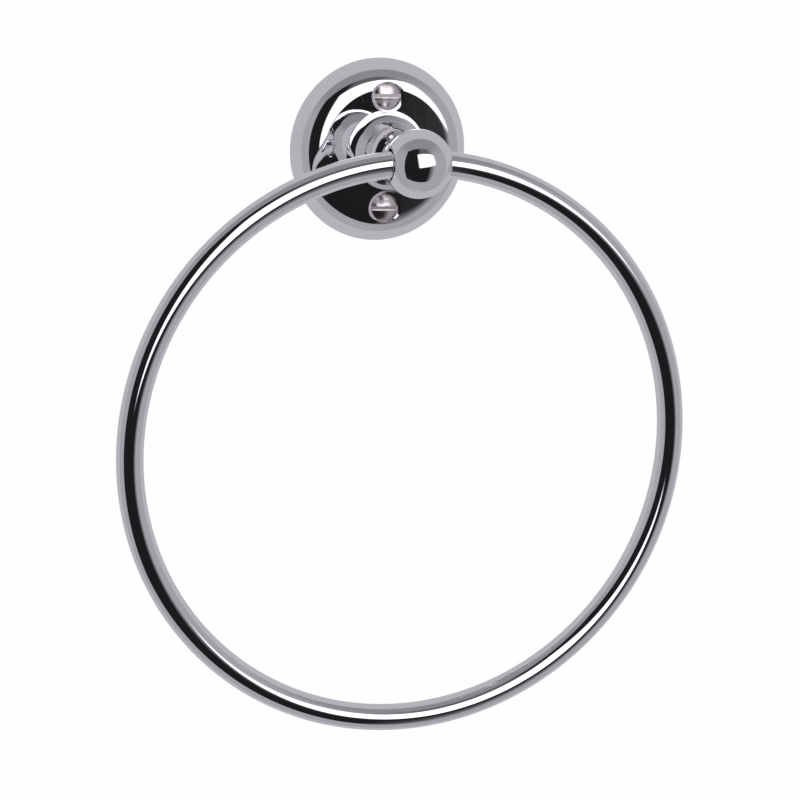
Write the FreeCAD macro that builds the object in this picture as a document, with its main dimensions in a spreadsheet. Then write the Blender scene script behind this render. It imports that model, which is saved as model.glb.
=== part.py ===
import FreeCAD, Part
import math
import os
import Sketcher

from FreeCAD import Placement, Rotation, Vector

# Towel ring: a round rose with a post, and a bar ring that swings in the ball of the post
# The wall is the plane Y = 0, the room is on the side of -Y, and +Z is up
# The origin is the middle of the rose's back

DRIVING_SIZES = {
    # rose
    "rose_radius": 28.2,
    "rose_edge": 0.5,
    "skirt_run": 4.3,
    "face_height": 8.8,
    "shoulder_radius": 7.5,
    "rim_wall": 3.2,
    "face_wall": 2.8,
    "hollow_run": 4.0,
    # boss that carries the post
    "boss_height": 4.0,
    "boss_foot_radius": 10.7,
    "boss_top_radius": 8.1,
    "cove_radius": 4.2,
    "hub_radius": 8.0,
    "hub_drop": 1.4,
    "web_thickness": 4.4,
    # post and ball
    "post_foot_radius": 7.75,
    "post_foot_height": 4.1,
    "neck_radius": 4.9,
    "trumpet_radius": 14.5,
    "ball_reach": 40.0,
    "ball_radius": 10.25,
    "ball_flat_distance": 8.8,
    "neck_fillet": 0.6,
    "spigot_radius": 4.0,
    "spigot_length": 3.2,
    "tapped_depth": 8.4,
    "mouth_chamfer": 0.25,
    # ring
    "ring_radius": 85.5,
    "bar_radius": 4.0,
    "bar_clearance": 0.5,
    # wall screws
    "screw_spacing": 34.4,
    "screw_head_radius": 4.35,
    "screw_head_rise": 1.2,
    "screw_sink": 0.75,
    "screw_shank_radius": 2.1,
    "screw_core_radius": 1.5,
    "screw_length": 38.0,
    "screw_plain_length": 14.0,
    "screw_point_length": 4.0,
    "screw_hole_clearance": 0.3,
    "slot_width": 1.3,
    "slot_depth": 1.5,
    # screw and washer behind the rose
    "stud_radius": 2.5,
    "stud_length": 12.0,
    "stud_head_radius": 4.3,
    "stud_head_height": 2.6,
    "stud_head_round": 0.8,
    "stud_end_chamfer": 0.5,
    "washer_radius": 5.0,
    "washer_thickness": 1.0,
    "fit_clearance": 0.05,
    "hole_clearance": 0.3,
}

document = FreeCAD.newDocument("towel_ring")
sheet = document.addObject("Spreadsheet::Sheet", "Sizes")
for row, (name, size) in enumerate(DRIVING_SIZES.items(), start=1):
    sheet.set(f"A{row}", name)
    sheet.set(f"B{row}", str(size))
    sheet.setAlias(f"B{row}", name)
document.recompute()


# Helpers shared by the pieces


def new_body(label):
    """A PartDesign body under its own label, which names its file."""
    body = document.addObject("PartDesign::Body", label)
    body.Label = label
    return body


def new_sketch(body, name, role):
    """An empty sketch on one of the body's own origin planes."""
    plane = next(part for part in body.Origin.OriginFeatures if part.Role == role)
    sketch = body.newObject("Sketcher::SketchObject", name)
    sketch.AttachmentSupport = (plane, [""])
    sketch.MapMode = "FlatFace"
    return sketch


def place(sketch, across, along):
    """The point of a sketch that two expressions give."""
    return Vector(
        float(sketch.evalExpression(across)), float(sketch.evalExpression(along)), 0
    )


def hold(sketch, geometry, point, spot, across, along):
    """Hold a point of a sketch where its two expressions put it."""
    for kind, distance, expression in (
        ("DistanceX", spot.x, across),
        ("DistanceY", spot.y, along),
    ):
        rule = Sketcher.Constraint(kind, -1, 1, geometry, point, distance)
        sketch.setExpression(f"Constraints[{sketch.addConstraint(rule)}]", expression)


def outline(body, name, role, corners, arc_centres=None):
    """A closed outline, each corner held by two expressions.

    A side is straight, or turns anticlockwise about its centre in arc_centres.
    """
    sketch = new_sketch(body, name, role)
    arc_centres = arc_centres or {}
    spots = [place(sketch, across, along) for across, along in corners]
    followers = spots[1:] + spots[:1]
    for index, (spot, follower) in enumerate(zip(spots, followers)):
        side = Part.LineSegment(spot, follower)
        if index in arc_centres:
            centre = place(sketch, *arc_centres[index])
            circle = Part.Circle(centre, Vector(0, 0, 1), (spot - centre).Length)
            side = Part.ArcOfCircle(circle, circle.parameter(spot), circle.parameter(follower))
        sketch.addGeometry(side, False)
    for index, (across, along) in enumerate(corners):
        follower = (index + 1) % len(corners)
        sketch.addConstraint(Sketcher.Constraint("Coincident", index, 2, follower, 1))
        hold(sketch, index, 1, spots[index], across, along)
    return sketch


def circles(body, name, role, rounds):
    """Circles whose centres and radii are held by expressions."""
    sketch = new_sketch(body, name, role)
    for index, (across, along, radius) in enumerate(rounds):
        centre = place(sketch, across, along)
        size = float(sketch.evalExpression(radius))
        sketch.addGeometry(Part.Circle(centre, Vector(0, 0, 1), size), False)
        hold(sketch, index, 3, centre, across, along)
        rule = sketch.addConstraint(Sketcher.Constraint("Radius", index, size))
        sketch.setExpression(f"Constraints[{rule}]", radius)
    return sketch


def turn(body, kind, name, sketch):
    """Turn an outline right round the sketch's upright axis, to add or to cut."""
    feature = body.newObject(f"PartDesign::{kind}", name)
    feature.Profile = sketch
    feature.ReferenceAxis = (sketch, ["V_Axis"])
    feature.Angle = 360
    document.recompute()
    return feature


def cut_through(body, name, sketch):
    """Cut an outline right through the body, both ways from its plane."""
    feature = body.newObject("PartDesign::Pocket", name)
    feature.Profile = sketch
    feature.Type = "ThroughAll"
    feature.Midplane = True
    document.recompute()
    return feature


def soften(body, kind, name, base, edges, size_name, expression):
    """A fillet or chamfer on the chosen edges of the feature before it."""
    feature = body.newObject(f"PartDesign::{kind}", name)
    feature.Base = (base, edges)
    feature.setExpression(size_name, expression)
    document.recompute()
    return feature


def round_edges(feature, radius, height):
    """Names of the circles of one radius at one height in front of the wall."""
    names = []
    for index, edge in enumerate(feature.Shape.Edges, start=1):
        if edge.Degenerated or not isinstance(edge.Curve, Part.Circle):
            continue
        curve = edge.Curve
        same_radius = math.isclose(curve.Radius, radius, abs_tol=1e-4)
        same_height = math.isclose(curve.Center.y, -height, abs_tol=1e-4)
        if same_radius and same_height:
            names.append(f"Edge{index}")
    return names


# Rose: a turned bell with a hollow back, a cove boss and two countersunk holes


def make_back_plate():
    body = new_body("back_plate")
    corner = "(Sizes.rose_radius - Sizes.skirt_run)"
    hollow = "(Sizes.rose_radius - Sizes.rim_wall)"
    ceiling = "(Sizes.face_height - Sizes.face_wall)"
    boss_top = "(Sizes.face_height + Sizes.boss_height)"
    hub_back = f"({ceiling} - Sizes.hub_drop)"
    web_front = f"({hub_back} + Sizes.web_thickness)"
    hole = "(Sizes.stud_radius + Sizes.hole_clearance)"
    socket = "(Sizes.spigot_radius + Sizes.fit_clearance)"
    section = outline(body, "rose_section", "XY_Plane", [
        (hollow, "0 mm"),
        ("Sizes.rose_radius", "0 mm"),
        ("Sizes.rose_radius", "-Sizes.rose_edge"),
        (corner, "-Sizes.face_height"),
        ("Sizes.boss_foot_radius", "-Sizes.face_height"),
        ("Sizes.boss_top_radius", f"-{boss_top}"),
        (socket, f"-{boss_top}"),
        (socket, f"-{web_front}"),
        (hole, f"-{web_front}"),
        (hole, f"-{hub_back}"),
        ("Sizes.hub_radius", f"-{hub_back}"),
        ("Sizes.hub_radius", f"-{ceiling}"),
        (f"{hollow} - Sizes.hollow_run", f"-{ceiling}"),
    ])
    bell = turn(body, "Revolution", "rose_bell", section)

    shoulder_edge = round_edges(bell, sheet.rose_radius - sheet.skirt_run, sheet.face_height)
    shoulder = soften(
        body, "Fillet", "rose_shoulder", bell, shoulder_edge, "Radius", "Sizes.shoulder_radius"
    )
    cove_edge = round_edges(shoulder, sheet.boss_foot_radius, sheet.face_height)
    soften(body, "Fillet", "boss_cove", shoulder, cove_edge, "Radius", "Sizes.cove_radius")

    # one countersunk hole, drawn beside its own axis and copied to the other side
    head = "(Sizes.screw_head_radius + Sizes.screw_sink)"
    bore = "(Sizes.screw_shank_radius + Sizes.screw_hole_clearance)"
    hole_section = outline(body, "screw_hole_section", "XY_Plane", [
        ("0 mm", "0 mm"),
        (bore, "0 mm"),
        (bore, f"-(Sizes.face_height - {head} + {bore})"),
        (f"{head} + Sizes.boss_height", "-(Sizes.face_height + Sizes.boss_height)"),
        ("0 mm", "-(Sizes.face_height + Sizes.boss_height)"),
    ])
    hole_section.setExpression("AttachmentOffset.Base.z", "Sizes.screw_spacing / 2")
    upper_hole = turn(body, "Groove", "upper_screw_hole", hole_section)
    pair = body.newObject("PartDesign::Mirrored", "screw_holes")
    pair.Originals = [upper_hole]
    pair.MirrorPlane = (
        next(part for part in body.Origin.OriginFeatures if part.Role == "XY_Plane"), [""]
    )
    body.Tip = pair
    return body


# Post: spigot, trumpet neck and ball, turned in one, then milled and bored across


def make_post():
    body = new_body("post")
    seat = "(Sizes.face_height + Sizes.boss_height)"
    neck_start = f"({seat} + Sizes.post_foot_height)"
    spigot_end = f"({seat} - Sizes.spigot_length)"
    root_depth = "sqrt(Sizes.ball_radius ^ 2 - Sizes.neck_radius ^ 2)"
    section = outline(body, "neck_section", "XY_Plane", [
        ("0 mm", "-(Sizes.ball_reach + Sizes.ball_radius)"),
        ("Sizes.neck_radius", f"-(Sizes.ball_reach - {root_depth})"),
        ("Sizes.neck_radius", f"-{neck_start}"),
        ("Sizes.post_foot_radius", f"-{seat}"),
        ("Sizes.spigot_radius", f"-{seat}"),
        ("Sizes.spigot_radius", f"-{spigot_end}"),
        ("0 mm", f"-{spigot_end}"),
    ], arc_centres={0: ("0 mm", "-Sizes.ball_reach")})
    neck = turn(body, "Revolution", "neck_and_ball", section)
    foot_end = sheet.face_height + sheet.boss_height + sheet.post_foot_height
    waist = round_edges(neck, sheet.neck_radius, foot_end)
    trumpet = soften(
        body, "Fillet", "trumpet", neck, waist, "Radius", "Sizes.trumpet_radius"
    )
    root_height = sheet.ball_reach - math.sqrt(sheet.ball_radius ** 2 - sheet.neck_radius ** 2)
    root = round_edges(trumpet, sheet.neck_radius, root_height)
    soften(body, "Fillet", "ball_root", trumpet, root, "Radius", "Sizes.neck_fillet")

    flat_outline = circles(body, "flat_outline", "YZ_Plane", [
        ("-Sizes.ball_reach", "0 mm", "Sizes.ball_radius + Sizes.ball_flat_distance"),
    ])
    flat_outline.setExpression("AttachmentOffset.Base.z", "Sizes.ball_flat_distance")
    flat = body.newObject("PartDesign::Pocket", "right_flat")
    flat.Profile = flat_outline
    flat.Type = "ThroughAll"
    flat.Reversed = True
    document.recompute()
    both = body.newObject("PartDesign::Mirrored", "flats")
    both.Originals = [flat]
    both.MirrorPlane = (
        next(part for part in body.Origin.OriginFeatures if part.Role == "YZ_Plane"), [""]
    )
    body.Tip = both
    document.recompute()

    bore = "Sizes.bar_radius + Sizes.bar_clearance"
    bore_outline = circles(body, "bore_outline", "YZ_Plane", [
        ("-Sizes.ball_reach", "0 mm", bore),
    ])
    cross_bore = cut_through(body, "cross_bore", bore_outline)
    mouths = round_edges(cross_bore, sheet.bar_radius + sheet.bar_clearance, sheet.ball_reach)
    soften(body, "Chamfer", "bore_mouths", cross_bore, mouths, "Size", "Sizes.mouth_chamfer")

    thread = "Sizes.stud_radius + Sizes.fit_clearance"
    tapped_section = outline(body, "tapped_section", "XY_Plane", [
        ("0 mm", f"-{spigot_end}"),
        (thread, f"-{spigot_end}"),
        (thread, f"-({spigot_end} + Sizes.tapped_depth)"),
        ("0 mm", f"-({spigot_end} + Sizes.tapped_depth + Sizes.stud_radius / 2)"),
    ])
    body.Tip = turn(body, "Groove", "tapped_hole", tapped_section)
    return body


# Ring: one bar bent to a full circle, hanging in the ball's bore


def make_ring():
    # the bar's middle line crosses the bore's axis, so that it clears the bore all along
    sagitta = "(Sizes.ring_radius - sqrt(Sizes.ring_radius ^ 2 - Sizes.ball_flat_distance ^ 2))"
    ring = document.addObject("Part::Torus", "ring")
    ring.Label = "ring"
    ring.setExpression("Radius1", "Sizes.ring_radius")
    ring.setExpression("Radius2", "Sizes.bar_radius")
    ring.Placement = Placement(Vector(0, 0, 0), Rotation(Vector(1, 0, 0), 90))
    ring.setExpression("Placement.Base.y", "-Sizes.ball_reach")
    ring.setExpression("Placement.Base.z", f"{sagitta} / 2 - Sizes.ring_radius")
    return ring


# Wall screws: raised countersunk heads, a plain shank, a core and a gimlet point


def make_wall_screw(name, side):
    body = document.addObject("PartDesign::Body", name)
    rim = "(Sizes.face_height - Sizes.screw_sink)"
    neck = f"({rim} - Sizes.screw_head_radius + Sizes.screw_shank_radius)"
    plain_end = f"({rim} - Sizes.screw_plain_length)"
    tip = f"({rim} - Sizes.screw_length)"
    point_start = f"({tip} + Sizes.screw_point_length)"
    section = outline(body, name + "_section", "XY_Plane", [
        ("0 mm", f"-{rim}"),
        ("Sizes.screw_head_radius", f"-{rim}"),
        ("Sizes.screw_shank_radius", f"-{neck}"),
        ("Sizes.screw_shank_radius", f"-{plain_end}"),
        ("Sizes.screw_core_radius", f"-({plain_end} + Sizes.screw_core_radius"
                                    " - Sizes.screw_shank_radius)"),
        ("Sizes.screw_core_radius", f"-{point_start}"),
        ("0 mm", f"-{tip}"),
    ])
    turn(body, "Revolution", name + "_shank", section)

    # the crown is a slice of a large ball that meets the rim of the head
    crown = "((Sizes.screw_head_radius ^ 2 + Sizes.screw_head_rise ^ 2) / (2 * Sizes.screw_head_rise))"
    dome = body.newObject("PartDesign::AdditiveSphere", name + "_crown")
    dome.setExpression("Radius", crown)
    dome.Placement = Placement(Vector(0, 0, 0), Rotation(Vector(1, 0, 0), 90))
    dome.setExpression("Placement.Base.y", f"-({rim} + Sizes.screw_head_rise - {crown})")
    cosine = "(Sizes.screw_head_rise - ({0})) / ({0})".format(crown)
    dome.setExpression("Angle1", f"-asin({cosine})")
    document.recompute()

    slot_outline = outline(body, name + "_slot_outline", "YZ_Plane", [
        (f"-({rim} + Sizes.screw_head_rise - Sizes.slot_depth)", "-Sizes.slot_width / 2"),
        (f"-({rim} + Sizes.screw_head_rise - Sizes.slot_depth)", "Sizes.slot_width / 2"),
        (f"-({rim} + 2 * Sizes.screw_head_rise)", "Sizes.slot_width / 2"),
        (f"-({rim} + 2 * Sizes.screw_head_rise)", "-Sizes.slot_width / 2"),
    ])
    cut_through(body, name + "_slot", slot_outline)
    body.setExpression("Placement.Base.z", f"{side} * Sizes.screw_spacing / 2")
    return body


def make_wall_screws():
    pair = document.addObject("Part::Compound", "wall_screws")
    pair.Label = "wall_screws"
    pair.Links = [make_wall_screw("upper_screw", 1), make_wall_screw("lower_screw", -1)]
    return pair


# Machine screw and washer that draw the post into the rose from behind


def make_post_screw():
    body = new_body("post_screw")
    hub_back = "(Sizes.face_height - Sizes.face_wall - Sizes.hub_drop)"
    seat = f"({hub_back} - Sizes.washer_thickness)"
    back = f"({seat} - Sizes.stud_head_height)"
    end = f"({seat} + Sizes.stud_length)"
    section = outline(body, "stud_section", "XY_Plane", [
        ("0 mm", f"-{back}"),
        ("Sizes.stud_head_radius", f"-{back}"),
        ("Sizes.stud_head_radius", f"-{seat}"),
        ("Sizes.stud_radius", f"-{seat}"),
        ("Sizes.stud_radius", f"-({end} - Sizes.stud_end_chamfer)"),
        ("Sizes.stud_radius - Sizes.stud_end_chamfer", f"-{end}"),
        ("0 mm", f"-{end}"),
    ])
    stud = turn(body, "Revolution", "stud", section)
    back_height = (
        sheet.face_height - sheet.face_wall - sheet.hub_drop
        - sheet.washer_thickness - sheet.stud_head_height
    )
    rim = round_edges(stud, sheet.stud_head_radius, back_height)
    soften(body, "Fillet", "pan_head", stud, rim, "Radius", "Sizes.stud_head_round")
    slot_outline = outline(body, "stud_slot_outline", "YZ_Plane", [
        (f"-({back} + Sizes.stud_head_height / 2)", "-Sizes.slot_width / 2"),
        (f"-({back} + Sizes.stud_head_height / 2)", "Sizes.slot_width / 2"),
        (f"-({back} - Sizes.stud_head_height)", "Sizes.slot_width / 2"),
        (f"-({back} - Sizes.stud_head_height)", "-Sizes.slot_width / 2"),
    ])
    cut_through(body, "stud_slot", slot_outline)
    return body


def make_post_washer():
    body = new_body("post_washer")
    rings = circles(body, "washer_outline", "XZ_Plane", [
        ("0 mm", "0 mm", "Sizes.washer_radius"),
        ("0 mm", "0 mm", "Sizes.stud_radius + Sizes.hole_clearance"),
    ])
    rings.setExpression(
        "AttachmentOffset.Base.z",
        "Sizes.face_height - Sizes.face_wall - Sizes.hub_drop - Sizes.washer_thickness",
    )
    disc = body.newObject("PartDesign::Pad", "washer_disc")
    disc.Profile = rings
    disc.setExpression("Length", "Sizes.washer_thickness")
    return body


pieces = [
    make_back_plate(),
    make_post(),
    make_ring(),
    make_wall_screws(),
    make_post_screw(),
    make_post_washer(),
]
document.recompute()

for item in document.Objects:
    if "Invalid" in item.State or "Error" in item.State:
        raise RuntimeError(f"{item.Name} did not build")
for piece in pieces:
    if piece.Shape.isNull() or not piece.Shape.isValid():
        raise RuntimeError(f"{piece.Label} has no valid shape")

os.makedirs("parts", exist_ok=True)
for piece in pieces:
    piece.Shape.exportStep(f"parts/{piece.Label}.step")
    box = piece.Shape.BoundBox
    print(
        f"{piece.Label}: {len(piece.Shape.Solids)} solids, {piece.Shape.Volume:.1f} mm3, "
        f"X {box.XMin:.2f} to {box.XMax:.2f}, Y {box.YMin:.2f} to {box.YMax:.2f}, "
        f"Z {box.ZMin:.2f} to {box.ZMax:.2f}"
    )
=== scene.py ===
# %% [markdown]
# A chrome towel ring
#
# This is the ring that a hand towel hangs through beside a basin: a plain round bar bent to a full circle,
# a ball on a short neck that the bar swings in, and a bell-shaped rose that two screws hold to the wall.
# Everything that shows is polished chrome plate, so the look of the object is the look of the room in it.
# That is why this lesson spends its care on smooth surfaces and on what stands around the object.

import math

import bpy
from mathutils import Matrix, Vector


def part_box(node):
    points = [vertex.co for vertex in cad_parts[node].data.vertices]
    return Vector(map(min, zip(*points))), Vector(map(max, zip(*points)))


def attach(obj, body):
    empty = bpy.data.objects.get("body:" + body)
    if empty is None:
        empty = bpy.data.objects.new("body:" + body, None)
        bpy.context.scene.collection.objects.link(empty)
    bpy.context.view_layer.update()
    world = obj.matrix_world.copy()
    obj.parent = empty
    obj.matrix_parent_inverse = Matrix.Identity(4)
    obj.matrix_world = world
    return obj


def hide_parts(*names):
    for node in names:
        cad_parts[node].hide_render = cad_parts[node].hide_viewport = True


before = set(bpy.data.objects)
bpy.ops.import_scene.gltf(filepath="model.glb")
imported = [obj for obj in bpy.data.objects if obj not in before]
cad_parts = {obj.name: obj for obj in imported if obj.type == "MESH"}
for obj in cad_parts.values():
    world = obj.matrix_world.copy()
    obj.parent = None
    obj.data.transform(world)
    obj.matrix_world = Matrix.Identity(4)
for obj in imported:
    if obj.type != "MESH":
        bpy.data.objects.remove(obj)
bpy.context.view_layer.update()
print("nodes:", ", ".join(sorted(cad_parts)))

# %% [markdown]
# Working sizes
#
# Blender works in metres and the shop drawings are in millimetres, so one constant stands between the two.
# Where a size can be read off the frame's own solids, it is, so the pieces follow the drawings.

# %% Read the main sizes from the frame
MM = 0.001


def node_size(node):
    """The lowest corner and the size of one node's box, in millimetres."""
    low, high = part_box(node)
    return low / MM, (high - low) / MM


rose_low, rose_size = node_size("back_plate")
post_low, post_size = node_size("post")
ring_low, ring_size = node_size("ring")
screws_size = node_size("wall_screws")[1]

ROSE_RADIUS = rose_size.x / 2
BALL_REACH = -(ring_low.y + ring_size.y / 2)
BALL_RADIUS = -post_low.y - BALL_REACH
FLAT_DISTANCE = post_size.x / 2
BAR_RADIUS = ring_size.y / 2
RING_RADIUS = ring_size.x / 2 - BAR_RADIUS
RING_CENTRE = ring_low.z + ring_size.z / 2
SEAT_HEIGHT = -rose_low.y
print(f"rose {ROSE_RADIUS:.2f}, ball {BALL_RADIUS:.2f} at {BALL_REACH:.2f}, ring {RING_RADIUS:.2f}")

# %% [markdown]
# The camera
#
# The photograph looks at the ring from its left and a little from above, through a long lens, with the
# camera rolled by about two degrees. The angles and the distance come from fitting the circles of the ring,
# the rose and the ball, and they hold for a lens of 108 mm on a 36 mm sensor.

# %% Set the camera
CAMERA_AZIMUTH = math.radians(-18.27)
CAMERA_HEIGHT = math.radians(11.85)
CAMERA_ROLL = math.radians(1.78)
CAMERA_DISTANCE = 719.5
CAMERA_TARGET = Vector((-3.42, -40.0, -70.85))
LENS_LENGTH = 108
NEAREST_SEEN = 10


def look_along(azimuth, height):
    """Right, up and back unit vectors of a camera that stands at this azimuth and height."""
    back = Vector((
        math.sin(azimuth) * math.cos(height),
        -math.cos(azimuth) * math.cos(height),
        math.sin(height),
    ))
    right = Vector((math.cos(azimuth), math.sin(azimuth), 0))
    return right, back.cross(right), back


def make_camera():
    right, up, back = look_along(CAMERA_AZIMUTH, CAMERA_HEIGHT)
    rolled_right = math.cos(CAMERA_ROLL) * right + math.sin(CAMERA_ROLL) * up
    rolled_up = math.cos(CAMERA_ROLL) * up - math.sin(CAMERA_ROLL) * right
    lens = bpy.data.cameras.new("camera")
    lens.lens = LENS_LENGTH
    lens.clip_start = NEAREST_SEEN * MM
    camera = bpy.data.objects.new("camera", lens)
    turn = Matrix((rolled_right, rolled_up, back)).transposed().to_4x4()
    camera.matrix_world = Matrix.Translation((CAMERA_TARGET + back * CAMERA_DISTANCE) * MM) @ turn
    bpy.context.scene.collection.objects.link(camera)
    bpy.context.scene.camera = camera


make_camera()
print("camera at", [round(part, 3) for part in bpy.context.scene.camera.matrix_world.translation])

# %% [markdown]
# Nodes in one line
#
# Every material and the studio are small networks of nodes. One function adds a node, sets what is
# particular about it, joins or fills its inputs and hands back the output that the next node takes, so that
# a network reads like a list of steps. A Mix node's inputs go by number: 0 is the share, 2 and 3 are two
# values, and 6 and 7 are two colours, whose mix comes out of output 2.

# %% Colour and node helpers


def linear(code):
    """The linear colour, with alpha, of an sRGB hex value such as F2F2F0."""
    shades = [int(code[place:place + 2], 16) / 255 for place in (0, 2, 4)]
    return [
        shade / 12.92 if shade <= 0.04045 else ((shade + 0.055) / 1.055) ** 2.4
        for shade in shades
    ] + [1.0]


def add_node(tree, kind, inputs=None, output=0, **settings):
    """Add a node; each input is another node's output or a plain value. Returns one output of its own."""
    node = tree.nodes.new("ShaderNode" + kind)
    for name, value in settings.items():
        setattr(node, name, value)
    for name, value in (inputs or {}).items():
        if isinstance(value, bpy.types.NodeSocket):
            tree.links.new(value, node.inputs[name])
        else:
            node.inputs[name].default_value = value
    return node.outputs[output] if node.outputs else None


# %% [markdown]
# Panels of a studio
#
# Light and dark fields in the chrome are panels of the studio's front wall. A panel has four straight sides,
# and each side fades over a little width, because a lamp's cloth has no sharp end. The sides are given as
# the angles at which the object sees them, so a panel can be placed by what the ball mirrors. A panel may
# also lean, which tilts its left and right sides, or slope, which tilts its bottom and top.

# %% Helpers for the studio's panels
STUDIO_AZIMUTH = math.radians(-10)
FRONT_START = 0.02


def ramp(tree, value, start, width):
    """0 at start and 1 a width further on; a width below zero runs the other way."""
    distance = add_node(tree, "Math", {0: value, 1: start}, operation="SUBTRACT")
    return add_node(tree, "Math", {0: distance, 1: width}, operation="DIVIDE", use_clamp=True)


def panel(tree, across, along, depth, sides, lean=0.0, slope=0.0):
    """1 inside a panel; its left, right, bottom and top are each an angle in degrees and a softness."""
    shift = add_node(tree, "Math", {0: along, 1: lean}, operation="MULTIPLY")
    leaning = add_node(tree, "Math", {0: across, 1: shift}, operation="ADD")
    climb = add_node(tree, "Math", {0: across, 1: slope}, operation="MULTIPLY")
    sloping = add_node(tree, "Math", {0: along, 1: climb}, operation="SUBTRACT")
    mask = add_node(tree, "Math", {0: depth, 1: FRONT_START}, operation="GREATER_THAN")
    for value, (angle, softness), inward in zip(
        (leaning, leaning, sloping, sloping), sides, (1, -1, 1, -1)
    ):
        start = math.tan(math.radians(angle)) - inward * softness / 2
        side = ramp(tree, value, start, inward * softness)
        mask = add_node(tree, "Math", {0: mask, 1: side}, operation="MULTIPLY")
    return mask


# %% [markdown]
# The studio in the chrome
#
# A mirror has no colour of its own. In the photograph the chrome shows lilac-grey walls all round, darker
# towards the ceiling, a black gap where the photographer stands, one white softbox whose lower left corner
# cuts into that gap, and a dim glow over the softbox. The world is painted with just these, as seen by rays
# that bounce off metal. Rays from the camera see plain white, and the soft light on the floor is even.

# %% Paint the world
BACK_WALL = 0.50
BACK_WALL_START = -0.08
BACK_WALL_FADE = -0.10
FRONT_WALL = 0.39
CEILING = 0.27
CEILING_START = 0.45
CEILING_FADE = 0.35
GAP = 0.012
GAP_SIDES = ((-54.5, 0.1), (39.5, 0.6), (-56.3, 0.1), (57.5, 0.15))
GLOW = 0.12
GLOW_SIDES = ((-6, 0.2), (80, 0.1), (35, 0.1), (80, 0.1))
SOFTBOX = 1.5
SOFTBOX_SIDES = ((-5, 0.09), (51, 0.35), (-6.5, 0.05), (38, 0.08))
SOFTBOX_LEAN = 0.17
SOFTBOX_SLOPE = 0.12
SMALLEST_DEPTH = 0.001


def make_studio():
    world = bpy.data.worlds.new("studio")
    bpy.context.scene.world = world
    world.use_nodes = True
    tree = world.node_tree
    tree.nodes.clear()
    direction = add_node(tree, "TexCoord", output="Generated")
    side, height, depth = [
        add_node(tree, "VectorMath", {0: direction, 1: axis}, "Value", operation="DOT_PRODUCT")
        for axis in look_along(STUDIO_AZIMUTH, 0)
    ]
    front = add_node(tree, "Math", {0: depth, 1: SMALLEST_DEPTH}, operation="MAXIMUM")
    across = add_node(tree, "Math", {0: side, 1: front}, operation="DIVIDE")
    along = add_node(tree, "Math", {0: height, 1: front}, operation="DIVIDE")
    above = ramp(tree, height, CEILING_START, CEILING_FADE)
    walls = add_node(tree, "Mix", {0: above, 2: FRONT_WALL, 3: CEILING})
    behind = ramp(tree, depth, BACK_WALL_START, BACK_WALL_FADE)
    walls = add_node(tree, "Mix", {0: behind, 2: walls, 3: BACK_WALL})
    glow = panel(tree, across, along, depth, GLOW_SIDES)
    dim = add_node(tree, "Mix", {0: glow, 2: GAP, 3: GLOW})
    gap = panel(tree, across, along, depth, GAP_SIDES)
    room = add_node(tree, "Mix", {0: gap, 2: walls, 3: dim})
    softbox = panel(tree, across, along, depth, SOFTBOX_SIDES, SOFTBOX_LEAN, SOFTBOX_SLOPE)
    room = add_node(tree, "Mix", {0: softbox, 2: room, 3: SOFTBOX})
    bounced = add_node(tree, "LightPath", output="Is Glossy Ray")
    strength = add_node(tree, "Mix", {0: bounced, 2: 1.0, 3: room})
    colours = {0: bounced, 6: linear("FFFFFF"), 7: linear("FBF6FF")}
    tint = add_node(tree, "Mix", colours, 2, data_type="RGBA")
    background = add_node(tree, "Background", {"Color": tint, "Strength": strength})
    add_node(tree, "OutputWorld", {"Surface": background})


make_studio()
print("walls", FRONT_WALL, "and", BACK_WALL, "round a softbox of", SOFTBOX)

# %% [markdown]
# The floor
#
# The ring hangs on a wall, so nothing stands on the floor: it lies half a metre below, pale and plain. Its
# own light to the camera lifts it to the white of the photograph, and the rest is paint that takes shadows.
# The chrome doesn't mirror it, because the painted studio already goes all the way round.

# %% Lay the floor
FLOOR_HEIGHT = -500
FLOOR_SIZE = 40000
FLOOR_GLOW = 0.8


def make_floor():
    bpy.ops.object.select_all(action="DESELECT")
    bpy.ops.mesh.primitive_plane_add(size=FLOOR_SIZE * MM, location=(0, 0, FLOOR_HEIGHT * MM))
    floor = bpy.context.object
    floor.name = "floor"
    paint = bpy.data.materials.new("pale_floor_paint")
    paint.use_nodes = True
    tree = paint.node_tree
    tree.nodes.clear()
    matt = add_node(tree, "BsdfDiffuse", {"Color": linear("FAFAFA")})
    white = add_node(tree, "Emission", {"Strength": 1.0})
    seen = add_node(tree, "LightPath", output="Is Camera Ray")
    share = add_node(tree, "Math", {0: seen, 1: FLOOR_GLOW}, operation="MULTIPLY")
    mix = add_node(tree, "MixShader", {0: share, 1: matt, 2: white})
    add_node(tree, "OutputMaterial", {"Surface": mix})
    floor.data.materials.append(paint)
    floor.visible_glossy = False


make_floor()
print("floor at", FLOOR_HEIGHT, "mm")

# %% [markdown]
# Turning on a lathe
#
# The rose, the post and the screws are all turned, so they are made here as a turner makes them: the outline
# of one side is drawn, a vertex at a time, and then spun round the axis. Outlines are pairs of radius and
# height in front of the wall, in millimetres, and arcs in them are short steps, because a mirror shows
# every facet.

# %% Helpers for turned pieces
TURN_STEPS = 288
WELD_DISTANCE = 0.001


def arc(centre, radius, start, end, steps):
    """Points of an arc about a centre; the angle is 0 towards the room and 90 degrees outwards."""
    points = []
    for step in range(steps + 1):
        angle = math.radians(start + (end - start) * step / steps)
        points.append((
            centre[0] + radius * math.sin(angle), centre[1] + radius * math.cos(angle)
        ))
    return points


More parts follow.
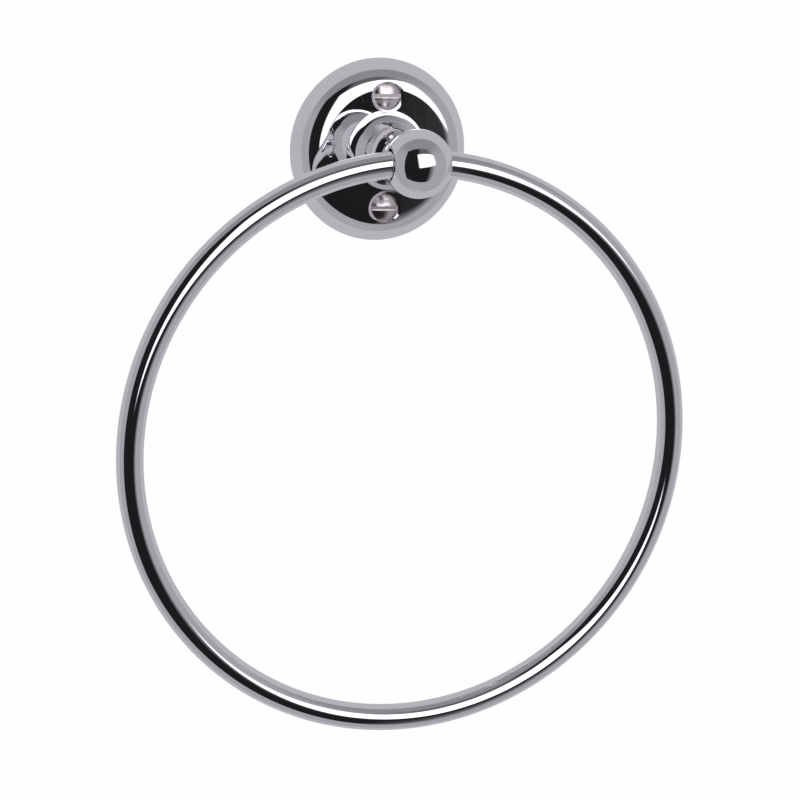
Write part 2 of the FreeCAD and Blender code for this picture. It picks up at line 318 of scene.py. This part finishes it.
def draw_outline(name, outline, place):
    """One vertex extruded along the outline; place turns a pair into a point in millimetres."""
    points = [Vector(place(*pair)) * MM for pair in outline]
    bpy.ops.object.select_all(action="DESELECT")
    bpy.ops.mesh.primitive_plane_add(size=MM, location=points[0])
    piece = bpy.context.object
    piece.name = name
    bpy.ops.object.transform_apply(location=True, rotation=True, scale=True)
    bpy.ops.object.mode_set(mode="EDIT")
    bpy.ops.mesh.select_all(action="SELECT")
    bpy.ops.mesh.merge(type="CENTER")
    for here, there in zip(points, points[1:]):
        bpy.ops.mesh.extrude_vertices_move(TRANSFORM_OT_translate={"value": there - here})
    return piece


def close_up(piece):
    """Weld what meets, turn the faces outwards and go back to object mode."""
    bpy.ops.mesh.select_all(action="SELECT")
    bpy.ops.mesh.remove_doubles(threshold=WELD_DISTANCE * MM)
    bpy.ops.mesh.normals_make_consistent(inside=False)
    bpy.ops.object.mode_set(mode="OBJECT")
    return piece


def turn_about_wall_axis(name, outline, height=0.0):
    """A piece turned about a line that stands out of the wall, at a height above the origin."""
    piece = draw_outline(name, outline, lambda radius, out: (radius, -out, height))
    bpy.ops.mesh.select_all(action="SELECT")
    bpy.ops.mesh.spin(
        steps=TURN_STEPS, angle=2 * math.pi, center=(0, 0, height * MM), axis=(0, 1, 0)
    )
    return close_up(piece)


# %% [markdown]
# Cutting and polishing
#
# What isn't round is cut into the turned pieces with tools that have the shape of the hole, by a boolean
# that is applied at once. Then the faces are shaded smooth up to an angle, so that curves mirror as curves
# and true edges stay crisp.

# %% Helpers for cutting and polishing


def cut_away(piece, tool):
    """Cut the tool's form out of the piece, and put the tool away."""
    bpy.ops.object.select_all(action="DESELECT")
    bpy.context.view_layer.objects.active = piece
    piece.select_set(True)
    cut = piece.modifiers.new("cut", "BOOLEAN")
    cut.object = tool
    cut.operation = "DIFFERENCE"
    cut.solver = "EXACT"
    bpy.ops.object.modifier_apply(modifier=cut.name)
    bpy.data.objects.remove(tool)


def polish_edges(piece, sharpest):
    """Smooth shading, but for edges sharper than an angle in degrees."""
    bpy.ops.object.select_all(action="DESELECT")
    bpy.context.view_layer.objects.active = piece
    piece.select_set(True)
    bpy.ops.object.shade_smooth_by_angle(angle=math.radians(sharpest))
    piece.data.calc_loop_triangles()
    print(f"{piece.name}: {len(piece.data.loop_triangles)} triangles")


# %% [markdown]
# The rose
#
# The rose is a shallow bell: a flat polished face, a round shoulder and a steep skirt down to the wall, with
# a cove in the middle that rises to the lip that the post stands on. Face, cove and shoulder meet in
# tangents, so the face gets a narrow step at either end, which keeps it truly flat in the mirror.

# %% Draw the front of the rose
FACE_HEIGHT = 8.8
SHOULDER_RADIUS = 7.5
SKIRT_RUN = 4.3
EDGE_HEIGHT = 0.5
EDGE_BREAK = 0.12
COVE_RADIUS = 4.2
BOSS_FOOT_RADIUS = 10.7
BOSS_TOP_RADIUS = 8.1
LIP_BREAK = 0.05
LIP_SLOPE_RUN = 0.03
GUARD = 0.08


def rose_front():
    """The outline from the wall over the shoulder, face and cove to the lip."""
    skirt_angle = math.atan2(FACE_HEIGHT - EDGE_HEIGHT, SKIRT_RUN)
    shoulder_reach = SHOULDER_RADIUS * math.tan(skirt_angle / 2)
    shoulder_centre = (
        ROSE_RADIUS - SKIRT_RUN - shoulder_reach, FACE_HEIGHT - SHOULDER_RADIUS
    )
    boss_angle = math.atan2(SEAT_HEIGHT - FACE_HEIGHT, BOSS_FOOT_RADIUS - BOSS_TOP_RADIUS)
    cove_reach = COVE_RADIUS * math.tan(boss_angle / 2)
    cove_centre = (BOSS_FOOT_RADIUS + cove_reach, FACE_HEIGHT + COVE_RADIUS)
    edge = [
        (ROSE_RADIUS, 0),
        (ROSE_RADIUS, EDGE_HEIGHT - EDGE_BREAK),
        (ROSE_RADIUS - EDGE_BREAK / 2, EDGE_HEIGHT),
    ]
    shoulder = arc(shoulder_centre, SHOULDER_RADIUS, math.degrees(skirt_angle), 0, steps=40)
    face = [(shoulder_centre[0] - GUARD, FACE_HEIGHT), (cove_centre[0] + GUARD, FACE_HEIGHT)]
    cove = arc(cove_centre, COVE_RADIUS, 180, 180 + math.degrees(boss_angle), steps=32)
    lip = [
        (BOSS_TOP_RADIUS + LIP_SLOPE_RUN, SEAT_HEIGHT - LIP_BREAK),
        (BOSS_TOP_RADIUS - LIP_BREAK, SEAT_HEIGHT),
    ]
    return edge + shoulder + face + cove + lip


front = rose_front()
print("the front's outline has", len(front), "points")

# %% [markdown]
# The back of the rose
#
# Behind, the rose is hollow, but for a hub in the middle. A socket in the hub takes the post's spigot from
# the front, and the hole at its bottom lets the hidden screw through from behind. Front and back make one
# outline, so that one spin turns the whole bell.

# %% Draw the back and turn the rose
FACE_WALL = 2.8
RIM_WALL = 3.2
HOLLOW_RUN = 4.0
HUB_DROP = 1.4
HUB_RADIUS = 8.0
HUB_BREAK = 0.2
WEB_THICKNESS = 4.4
SOCKET_RADIUS = 4.05
STUD_HOLE_RADIUS = 2.8


def rose_back():
    """The outline from the lip through the socket and the hollow back to the wall."""
    ceiling = FACE_HEIGHT - FACE_WALL
    hub_back = ceiling - HUB_DROP
    hollow = ROSE_RADIUS - RIM_WALL
    return [
        (SOCKET_RADIUS, SEAT_HEIGHT),
        (SOCKET_RADIUS, hub_back + WEB_THICKNESS),
        (STUD_HOLE_RADIUS, hub_back + WEB_THICKNESS),
        (STUD_HOLE_RADIUS, hub_back),
        (HUB_RADIUS - HUB_BREAK, hub_back),
        (HUB_RADIUS, hub_back + HUB_BREAK),
        (HUB_RADIUS, ceiling),
        (hollow - HOLLOW_RUN, ceiling),
        (hollow, 0),
        (ROSE_RADIUS, 0),
    ]


rose = turn_about_wall_axis("rose_bell", front + rose_back())
print("rose", [round(side / MM, 2) for side in rose.dimensions])

# %% [markdown]
# The screw holes
#
# Each screw sits in a countersink, and round its head the photograph shows a bright crescent. That is the
# sloping wall of a shallow dish, some seventeen degrees steep, in which the seat's cone begins. Each hole
# is cut by a tool of its own form.

# %% Sink the screw holes
HEAD_RADIUS = 4.35
HEAD_SINK = 0.75
HEAD_RIM = FACE_HEIGHT - HEAD_SINK
SCREW_OUT = (screws_size.z - 2 * HEAD_RADIUS) / 2
DISH_RADIUS = 5.2
DISH_DEPTH = 0.25
DISH_BREAK = 0.06
DISH_BREAK_BELOW = 0.02
DISH_BREAK_ABOVE = 0.04
SEAT_BREAK = 0.04
SEAT_BREAK_START = 0.03
SEAT_BREAK_END = 0.08
SCREW_HOLE_RADIUS = 2.4
CUTTER_SPARE = 1
POLISHED_TURN = 20


def hole_tool(height):
    """What the cutter takes out for the screw at this height."""
    dish_floor = FACE_HEIGHT - DISH_DEPTH
    return turn_about_wall_axis("hole_tool", [
        (0, -CUTTER_SPARE),
        (SCREW_HOLE_RADIUS, -CUTTER_SPARE),
        (SCREW_HOLE_RADIUS, HEAD_RIM - HEAD_RADIUS + SCREW_HOLE_RADIUS),
        (HEAD_RADIUS, HEAD_RIM),
        (HEAD_RADIUS + SEAT_BREAK_START, dish_floor - SEAT_BREAK),
        (HEAD_RADIUS + SEAT_BREAK_END, dish_floor),
        (DISH_RADIUS - DISH_BREAK, FACE_HEIGHT - DISH_BREAK_BELOW),
        (DISH_RADIUS + DISH_BREAK, FACE_HEIGHT + DISH_BREAK_ABOVE),
        (DISH_RADIUS + DISH_BREAK, SEAT_HEIGHT),
        (0, SEAT_HEIGHT),
    ], height)


for side in (1, -1):
    cut_away(rose, hole_tool(side * SCREW_OUT))
polish_edges(rose, POLISHED_TURN)
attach(rose, "wall_body")
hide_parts("back_plate")

# %% [markdown]
# The post
#
# Neck and ball are one turned piece: a trumpet that flares to the rose's lip, and a ball that grows out of
# its thin end. A spigot under its foot sits in the rose's socket, and a hole in it takes the screw.

# %% Turn the post
FOOT_RADIUS = 7.75
FOOT_HEIGHT = 4.1
FOOT_BREAK = 0.05
NECK_RADIUS = 4.9
TRUMPET_RADIUS = 14.5
ROOT_RADIUS = 0.6
SPIGOT_RADIUS = 4.0
SPIGOT_LENGTH = 3.2
TAPPED_RADIUS = 2.55
TAPPED_DEPTH = 8.4
DRILL_POINT = TAPPED_RADIUS / 2


def post_outline():
    """The outline from the tapped hole over the spigot, foot and trumpet to the front of the ball."""
    foot_angle = math.degrees(math.atan2(FOOT_HEIGHT, FOOT_RADIUS - NECK_RADIUS))
    turn_angle = 90 - foot_angle
    waist = SEAT_HEIGHT + FOOT_HEIGHT
    trumpet_end = waist + TRUMPET_RADIUS * math.tan(math.radians(turn_angle / 2))
    trumpet_centre = (NECK_RADIUS + TRUMPET_RADIUS, trumpet_end)
    root_distance = BALL_RADIUS + ROOT_RADIUS
    root_across = NECK_RADIUS + ROOT_RADIUS
    root_along = math.sqrt(root_distance ** 2 - root_across ** 2)
    root_angle = math.degrees(math.atan2(root_across, root_along))
    root_centre = (root_across, BALL_REACH - root_along)
    spigot_end = SEAT_HEIGHT - SPIGOT_LENGTH
    foot = [
        (0, spigot_end + TAPPED_DEPTH + DRILL_POINT),
        (TAPPED_RADIUS, spigot_end + TAPPED_DEPTH),
        (TAPPED_RADIUS, spigot_end),
        (SPIGOT_RADIUS, spigot_end),
        (SPIGOT_RADIUS, SEAT_HEIGHT),
        (FOOT_RADIUS - FOOT_BREAK, SEAT_HEIGHT),
        (FOOT_RADIUS, SEAT_HEIGHT + FOOT_BREAK),
    ]
    trumpet = arc(trumpet_centre, TRUMPET_RADIUS, 180 + foot_angle, 270, steps=32)
    root = arc(root_centre, ROOT_RADIUS, 270, 360 - root_angle, steps=10)
    ball = arc((0, BALL_REACH), BALL_RADIUS, 180 - root_angle, 0, steps=120)
    return foot + trumpet + root + ball[1:]


post = turn_about_wall_axis("turned_post", post_outline())
print("post", [round(side / MM, 2) for side in post.dimensions])

# %% [markdown]
# The flats of the ball
#
# The ball gets a flat on each side, where the bar comes out. Each is cut with a tool that is turned about
# the bore. The tool carries the small rounding that polishing leaves on the edge, so no bevel has to find
# its way round the ball.

# %% Mill the flats
FLAT_ROUNDING = 0.4
ROUNDING_STEPS = 6
MILL_SPARE_ACROSS = 3
MILL_SPARE_ALONG = 2


def turn_about_bore(name, outline):
    """A tool turned about the ball's bore; pairs are radius and distance along X."""
    piece = draw_outline(name, outline, lambda radius, along: (along, -BALL_REACH - radius, 0))
    bpy.ops.mesh.select_all(action="SELECT")
    bpy.ops.mesh.spin(
        steps=TURN_STEPS, angle=2 * math.pi, center=(0, -BALL_REACH * MM, 0), axis=(1, 0, 0)
    )
    return close_up(piece)


def flat_tool(side):
    """What the mill takes off one side of the ball, edge rounding and all."""
    centre_along = FLAT_DISTANCE - FLAT_ROUNDING
    centre_across = math.sqrt((BALL_RADIUS - FLAT_ROUNDING) ** 2 - centre_along ** 2)
    tangent = math.atan2(centre_across, centre_along)
    rounding = arc(
        (centre_across, centre_along), FLAT_ROUNDING, 0, math.degrees(tangent), ROUNDING_STEPS
    )
    end_across, end_along = rounding[-1]
    rim = end_across + MILL_SPARE_ACROSS
    top = BALL_RADIUS + MILL_SPARE_ALONG
    outline = [(0, FLAT_DISTANCE)] + rounding + [
        (rim, end_along - MILL_SPARE_ACROSS * math.tan(tangent)),
        (rim, top),
        (0, top),
    ]
    return turn_about_bore("flat_tool", [(across, side * along) for across, along in outline])


for side in (1, -1):
    cut_away(post, flat_tool(side))
print("post is", round(post.dimensions.x / MM, 2), "mm across the flats")

# %% [markdown]
# The bore of the ball
#
# The bar swings in a hole bored right across the ball from flat to flat, with half a millimetre to spare.
# Both mouths are rounded, because the bar comes out on a curve and would rub on a sharp edge.

# %% Bore the ball
BORE_RADIUS = 4.5
MOUTH_ROUNDING = 0.25
BORER_SPARE = 1


def bore_tool():
    """The borer, flared at both mouths."""
    mouth = FLAT_DISTANCE - MOUTH_ROUNDING
    centre = BORE_RADIUS + MOUTH_ROUNDING
    end = FLAT_DISTANCE + BORER_SPARE
    one_side = arc((centre, mouth), MOUTH_ROUNDING, 0, -90, ROUNDING_STEPS)
    other_side = [(across, -along) for across, along in reversed(one_side)]
    outline = [(0, end), (centre, end)] + one_side + other_side + [(centre, -end), (0, -end)]
    return turn_about_bore("bore_tool", outline)


cut_away(post, bore_tool())
polish_edges(post, POLISHED_TURN)
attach(post, "wall_body")
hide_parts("post")

# %% [markdown]
# The ring
#
# The ring is one bar bent to a full circle, with its closing joint hidden in the ball. A torus is its true
# form, so all it needs is enough steps for a clean mirror.

# %% Bend the ring
RING_STEPS = 512
BAR_STEPS = 80

bpy.ops.object.select_all(action="DESELECT")
bpy.ops.mesh.primitive_torus_add(
    major_radius=RING_RADIUS * MM,
    minor_radius=BAR_RADIUS * MM,
    major_segments=RING_STEPS,
    minor_segments=BAR_STEPS,
    location=(0, -BALL_REACH * MM, RING_CENTRE * MM),
    rotation=(math.pi / 2, 0, 0),
)
bar_ring = bpy.context.object
bar_ring.name = "bar_ring"
bpy.ops.object.transform_apply(location=True, rotation=True, scale=True)
polish_edges(bar_ring, POLISHED_TURN)
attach(bar_ring, "ring_body")
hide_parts("ring")

# %% [markdown]
# The body of a wall screw
#
# Each screw is a raised countersunk one with a slot: a low domed crown with a rounded edge, a cone that fits
# the seat, a plain shank, and a thinner core that carries the thread down to the point. The body is turned,
# and then the slot is sawn level across the crown.

# %% Turn the screw and saw its slot
CROWN_RISE = 1.2
CROWN_STEPS = 24
CROWN_TOP = HEAD_RIM + CROWN_RISE
EDGE_ROUNDING = 0.3
EDGE_START = 10
EDGE_END = 100
SHANK_RADIUS = 2.1
CORE_RADIUS = 1.5
SCREW_LENGTH = 38.0
PLAIN_LENGTH = 14.0
POINT_LENGTH = 4.0
PLAIN_END = HEAD_RIM - PLAIN_LENGTH
SCREW_TIP = HEAD_RIM - SCREW_LENGTH
SLOT_WIDTH = 1.3
SLOT_DEPTH = 1.5


def screw_outline():
    """The outline from the crown over the cone and the shank to the point."""
    bend = (HEAD_RADIUS ** 2 + CROWN_RISE ** 2) / (2 * CROWN_RISE)
    crown_end = math.degrees(math.asin((HEAD_RADIUS - EDGE_ROUNDING) / bend))
    crown = arc((0, CROWN_TOP - bend), bend, 0, crown_end, CROWN_STEPS)
    edge_centre = (HEAD_RADIUS - EDGE_ROUNDING, crown[-1][1] - EDGE_ROUNDING)
    edge = arc(edge_centre, EDGE_ROUNDING, crown_end + EDGE_START, EDGE_END, ROUNDING_STEPS)
    return crown + edge + [
        (SHANK_RADIUS, HEAD_RIM - HEAD_RADIUS + SHANK_RADIUS),
        (SHANK_RADIUS, PLAIN_END),
        (CORE_RADIUS, PLAIN_END - SHANK_RADIUS + CORE_RADIUS),
        (CORE_RADIUS, SCREW_TIP + POINT_LENGTH),
        (0, SCREW_TIP),
    ]


def saw_slot(screw, height):
    """A square slot, with half of the saw's block above the crown."""
    bpy.ops.object.select_all(action="DESELECT")
    bpy.ops.mesh.primitive_cube_add(size=MM, location=(0, -CROWN_TOP * MM, height * MM))
    saw = bpy.context.object
    saw.scale = (4 * HEAD_RADIUS, 2 * SLOT_DEPTH, SLOT_WIDTH)
    bpy.ops.object.transform_apply(location=True, rotation=True, scale=True)
    cut_away(screw, saw)


upper_screw = turn_about_wall_axis("upper_wall_screw", screw_outline(), SCREW_OUT)
saw_slot(upper_screw, SCREW_OUT)
print(upper_screw.name, "is", round(upper_screw.dimensions.y / MM, 2), "mm long")

# %% [markdown]
# The thread
#
# The thread is a narrow strip that the Screw modifier winds round the core. Towards the point the strip
# sinks with the core. Its two ends stay open, and they lie deep in the wall.

# %% Wind the thread
THREAD_PITCH = 1.8
THREAD_SLOPE = THREAD_PITCH / 3
THREAD_SUNK = 0.3
CREST_SHORT = 0.02
CREST_WIDTH = 0.05
THREAD_LATE = 0.5
PLAIN_TIP = 1.0
SUNK_TIP = 0.4
THREAD_STEPS = 24


def wind_thread(height):
    """The thread as a four-sided strip wound round the core, sinking into it towards the point."""
    start = PLAIN_END - THREAD_LATE
    root = CORE_RADIUS - THREAD_SUNK
    crest = SHANK_RADIUS - CREST_SHORT
    strip = draw_outline("thread", [
        (root, start - THREAD_SLOPE),
        (crest, start - CREST_WIDTH),
        (crest, start),
        (root, start + THREAD_SLOPE),
    ], lambda radius, out: (radius, -out, 0))
    bpy.ops.mesh.select_all(action="SELECT")
    bpy.ops.mesh.edge_face_add()
    bpy.ops.object.mode_set(mode="OBJECT")
    winding = strip.modifiers.new("winding", "SCREW")
    winding.axis = "Y"
    winding.angle = 2 * math.pi
    winding.iterations = int((start - SCREW_TIP - PLAIN_TIP) / THREAD_PITCH)
    winding.screw_offset = THREAD_PITCH * MM
    winding.steps = THREAD_STEPS
    winding.render_steps = THREAD_STEPS
    bpy.ops.object.modifier_apply(modifier=winding.name)
    for vertex in strip.data.vertices:
        left = max(-SCREW_TIP * MM - vertex.co.y - SUNK_TIP * MM, 0)
        share = min(left / (POINT_LENGTH * MM), 1)
        vertex.co.x = vertex.co.x * share
        vertex.co.z = vertex.co.z * share
    bpy.ops.object.mode_set(mode="EDIT")
    close_up(strip)
    bpy.ops.transform.translate(value=(0, 0, height * MM))
    bpy.ops.object.transform_apply(location=True, rotation=True, scale=True)
    return strip


thread = wind_thread(SCREW_OUT)
print("thread", [round(side / MM, 2) for side in thread.dimensions])

# %% [markdown]
# Thread and body
#
# The root of the thread lies inside the core, so joining the two meshes is enough, and a boolean has nothing
# to get wrong on hundreds of thin faces.

# %% Join the thread to the screw
POLISHED_SCREW = 28


def join_on(piece, addition):
    """Make a second form part of a piece's mesh."""
    bpy.ops.object.select_all(action="DESELECT")
    addition.select_set(True)
    piece.select_set(True)
    bpy.context.view_layer.objects.active = piece
    bpy.ops.object.join()


join_on(upper_screw, thread)
polish_edges(upper_screw, POLISHED_SCREW)

# %% [markdown]
# The second screw
#
# Both screws come out of one box, so the lower one is a copy with its own mesh. The move goes into the mesh,
# and its object stays at the origin as every other piece's does.

# %% Copy the screw


def copy_down(piece, name, drop):
    """A copy with its own mesh, moved down the wall."""
    twin = piece.copy()
    twin.data = piece.data.copy()
    twin.name = name
    bpy.context.scene.collection.objects.link(twin)
    twin.data.transform(Matrix.Translation((0, 0, -drop * MM)))
    return twin


lower_screw = copy_down(upper_screw, "lower_wall_screw", 2 * SCREW_OUT)
wall_screws = [upper_screw, lower_screw]
for screw in wall_screws:
    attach(screw, "wall_body")
    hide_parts("wall_screws")
print("screws", round(2 * SCREW_OUT, 2), "mm apart")

# %% [markdown]
# Metals
#
# Every finish here is a metal, so each starts as one colour, fully metallic and with the default IOR. The
# patterns over it are noise in Object coordinates. Those are in metres, so the scale of a pattern is a
# thousand over its size in millimetres.

# %% Helpers for metals
PER_METRE = 1000


def new_material(name, colour):
    """The material, tree and shader of a metal in one colour, and the place on the object in metres."""
    material = bpy.data.materials.new(name)
    material.use_nodes = True
    tree = material.node_tree
    shader = tree.nodes["Principled BSDF"]
    shader.inputs["Metallic"].default_value = 1.0
    shader.inputs["Base Color"].default_value = linear(colour)
    place = add_node(tree, "TexCoord", output="Object")
    return material, tree, shader, place


def plate(pieces, material):
    """Give the pieces this one material."""
    for piece in pieces:
        piece.data.materials.clear()
        piece.data.materials.append(material)
    print(material.name, "on", ", ".join(piece.name for piece in pieces))


# %% [markdown]
# Chrome plate
#
# Bright chrome over polished brass is the cleanest mirror in the house. The buffing wheel leaves it very
# slightly wavy, which bends the edges of what it mirrors, and cloths leave hairlines and faint wiped patches
# that dull it here and there. Its colour is the cool near-white of chromium.

# %% Mix the chrome


def make_chrome():
    material, tree, shader, place = new_material("buffed_chrome_plate", "FAFAFC")
    # patches of 14 mm that a cloth has wiped, and a haze in spots of 1.5 mm
    patches = add_node(tree, "TexNoise", {"Vector": place, "Scale": PER_METRE / 14, "Detail": 2})
    wiped = add_node(tree, "MapRange", {
        "Value": patches, "From Min": 0.45, "From Max": 0.70, "To Min": 0.0, "To Max": 0.030,
    })
    spots = add_node(tree, "TexNoise", {"Vector": place, "Scale": PER_METRE / 1.5, "Detail": 3})
    haze = add_node(tree, "MapRange", {
        "Value": spots, "From Min": 0.35, "From Max": 0.75, "To Min": 0.008, "To Max": 0.030,
    })
    # hairlines are a few hundredths of a millimetre wide; here they are drawn at about a tenth
    narrowed = add_node(tree, "Mapping", {"Vector": place, "Scale": (1, 1, 26)})
    hairlines = add_node(tree, "TexNoise", {"Vector": narrowed, "Scale": PER_METRE / 3, "Detail": 4})
    scratched = add_node(tree, "MapRange", {
        "Value": hairlines, "From Min": 0.62, "From Max": 0.72, "To Min": 0.0, "To Max": 0.10,
    })
    dulled = add_node(tree, "Math", {0: wiped, 1: haze}, operation="ADD")
    rough = add_node(tree, "Math", {0: dulled, 1: scratched}, operation="ADD")
    tree.links.new(rough, shader.inputs["Roughness"])
    # the wheel's waves are 7 mm long and a hundredth of a millimetre high, under a finer ripple
    waves = add_node(tree, "TexNoise", {"Vector": place, "Scale": PER_METRE / 7, "Detail": 1})
    wavy = add_node(tree, "Bump", {"Height": waves, "Distance": 0.012 * MM, "Strength": 1.0})
    ripple = add_node(tree, "TexNoise", {"Vector": place, "Scale": PER_METRE / 1.2, "Detail": 2})
    rippled = add_node(tree, "Bump", {
        "Height": ripple, "Distance": 0.0012 * MM, "Strength": 1.0, "Normal": wavy,
    })
    tree.links.new(rippled, shader.inputs["Normal"])
    return material


plate((rose, post, bar_ring), make_chrome())

# %% [markdown]
# The dull back of the rose
#
# Nobody polishes what faces the wall. The hollow is as the casting left it, with plate over a fine sandy
# grain, so it is a second, dull finish on the faces inside the bell.

# %% Plate the hollow
HOLLOW_RADIUS = ROSE_RADIUS - RIM_WALL
HOLLOW_DEPTH = FACE_HEIGHT - FACE_WALL
TOWARDS_WALL = 0.2
DEPTH_SPARE = 0.1


def make_cast_plate():
    material, tree, shader, place = new_material("chrome_plated_casting", "C9C9C6")
    patches = add_node(tree, "TexNoise", {"Vector": place, "Scale": PER_METRE / 9, "Detail": 3})
    paleness = add_node(tree, "MapRange", {"Value": patches, "From Min": 0.35, "From Max": 0.7})
    colours = {0: paleness, 6: linear("B9B6AF"), 7: linear("D2D2D0")}
    shade = add_node(tree, "Mix", colours, 2, data_type="RGBA")
    tree.links.new(shade, shader.inputs["Base Color"])
    rough = add_node(tree, "MapRange", {
        "Value": patches, "From Min": 0.3, "From Max": 0.7, "To Min": 0.42, "To Max": 0.58,
    })
    tree.links.new(rough, shader.inputs["Roughness"])
    # sand grains of 0.35 mm
    grain = add_node(tree, "TexNoise", {"Vector": place, "Scale": PER_METRE / 0.35, "Detail": 3})
    sandy = add_node(tree, "Bump", {"Height": grain, "Distance": 0.03 * MM, "Strength": 1.0})
    tree.links.new(sandy, shader.inputs["Normal"])
    return material


rose.data.materials.append(make_cast_plate())
dull_faces = 0
for face in rose.data.polygons:
    radius = math.hypot(face.center.x, face.center.z) / MM
    depth = -face.center.y / MM
    inside = radius < HOLLOW_RADIUS and depth < HOLLOW_DEPTH + DEPTH_SPARE
    if inside and face.normal.y > TOWARDS_WALL:
        face.material_index = 1
        dull_faces += 1
print("dull faces in the hollow:", dull_faces)

# %% [markdown]
# Screw metal
#
# The wall screws are nickel-plated brass, turned on an automatic lathe: warmer than the chrome, and with
# rings from the tool that spread each highlight into a soft disc. Both screws share one material. Half a
# turn about the rose's axis brings one onto the other, so its nodes first bring the lower screw's surface
# onto the upper one's and then measure the distance from that screw's axis.

# %% Plate the screws
# tool marks lie 0.08 mm apart; they are drawn at 0.2 mm so that they show
MARK_SPACING = 0.2


def turned_rings(tree, place):
    """0 to 1 and back for each ring that the tool leaves round the axis of a screw."""
    height = add_node(tree, "SeparateXYZ", {0: place}, "Z")
    side = add_node(tree, "Math", {0: height}, operation="SIGN")
    both = add_node(tree, "VectorMath", {0: place, "Scale": side}, operation="SCALE")
    axis = (0, 0, SCREW_OUT * MM)
    centred = add_node(tree, "VectorMath", {0: both, 1: axis}, operation="SUBTRACT")
    flat = add_node(tree, "VectorMath", {0: centred, 1: (1, 0, 1)}, operation="MULTIPLY")
    radius = add_node(tree, "VectorMath", {0: flat}, "Value", operation="LENGTH")
    turn = 2 * math.pi / (MARK_SPACING * MM)
    angle = add_node(tree, "Math", {0: radius, 1: turn}, operation="MULTIPLY")
    wave = add_node(tree, "Math", {0: angle}, operation="SINE")
    return add_node(tree, "MapRange", {"Value": wave, "From Min": -1, "From Max": 1})


def make_screw_metal():
    material, tree, shader, place = new_material("turned_nickel_plate", "DEDAD8")
    rings = turned_rings(tree, place)
    stains = add_node(tree, "TexNoise", {"Vector": place, "Scale": PER_METRE / 2.5, "Detail": 2})
    stained = add_node(tree, "MapRange", {"Value": stains, "From Min": 0.4, "From Max": 0.75})
    colours = {0: stained, 6: linear("ECE9E8"), 7: linear("D3CDCA")}
    shade = add_node(tree, "Mix", colours, 2, data_type="RGBA")
    tree.links.new(shade, shader.inputs["Base Color"])
    worn = add_node(tree, "MapRange", {
        "Value": stains, "From Min": 0.3, "From Max": 0.7, "To Min": 0.16, "To Max": 0.24,
    })
    grooved = add_node(tree, "Math", {0: rings, 1: 0.04}, operation="MULTIPLY")
    rough = add_node(tree, "Math", {0: worn, 1: grooved}, operation="ADD")
    tree.links.new(rough, shader.inputs["Roughness"])
    marks = add_node(tree, "Bump", {"Height": rings, "Distance": 0.0012 * MM, "Strength": 1.0})
    knocks = add_node(tree, "TexNoise", {"Vector": place, "Scale": PER_METRE / 1.6, "Detail": 1})
    dents = add_node(tree, "Bump", {
        "Height": knocks, "Distance": 0.004 * MM, "Strength": 1.0, "Normal": marks,
    })
    tree.links.new(dents, shader.inputs["Normal"])
    return material


plate(wall_screws, make_screw_metal())

# %% [markdown]
# Zinc plate
#
# The screw and washer that draw the post into the rose are never seen from the room. They are common steel
# with a thin bright zinc plate, bluish grey, slightly cloudy, with dull spots where it has begun to oxidise.

# %% Plate the screw and washer behind the rose


def make_zinc():
    material, tree, shader, place = new_material("zinc_plated_steel", "BFC3C6")
    clouds = add_node(tree, "TexNoise", {"Vector": place, "Scale": PER_METRE / 3, "Detail": 4})
    oxide = add_node(tree, "MapRange", {"Value": clouds, "From Min": 0.35, "From Max": 0.7})
    colours = {0: oxide, 6: linear("C6CACC"), 7: linear("A3A8AC")}
    shade = add_node(tree, "Mix", colours, 2, data_type="RGBA")
    tree.links.new(shade, shader.inputs["Base Color"])
    rough = add_node(tree, "MapRange", {
        "Value": clouds, "From Min": 0.3, "From Max": 0.7, "To Min": 0.26, "To Max": 0.44,
    })
    tree.links.new(rough, shader.inputs["Roughness"])
    specks = add_node(tree, "TexNoise", {"Vector": place, "Scale": PER_METRE / 0.5, "Detail": 3})
    pitted = add_node(tree, "Bump", {"Height": specks, "Distance": 0.006 * MM, "Strength": 1.0})
    tree.links.new(pitted, shader.inputs["Normal"])
    return material


plate([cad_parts[node] for node in ("post_screw", "post_washer")], make_zinc())

# %% [markdown]
# Last settings
#
# The Standard view shows each colour about as it is written.

bpy.context.scene.view_settings.view_transform = "Standard"
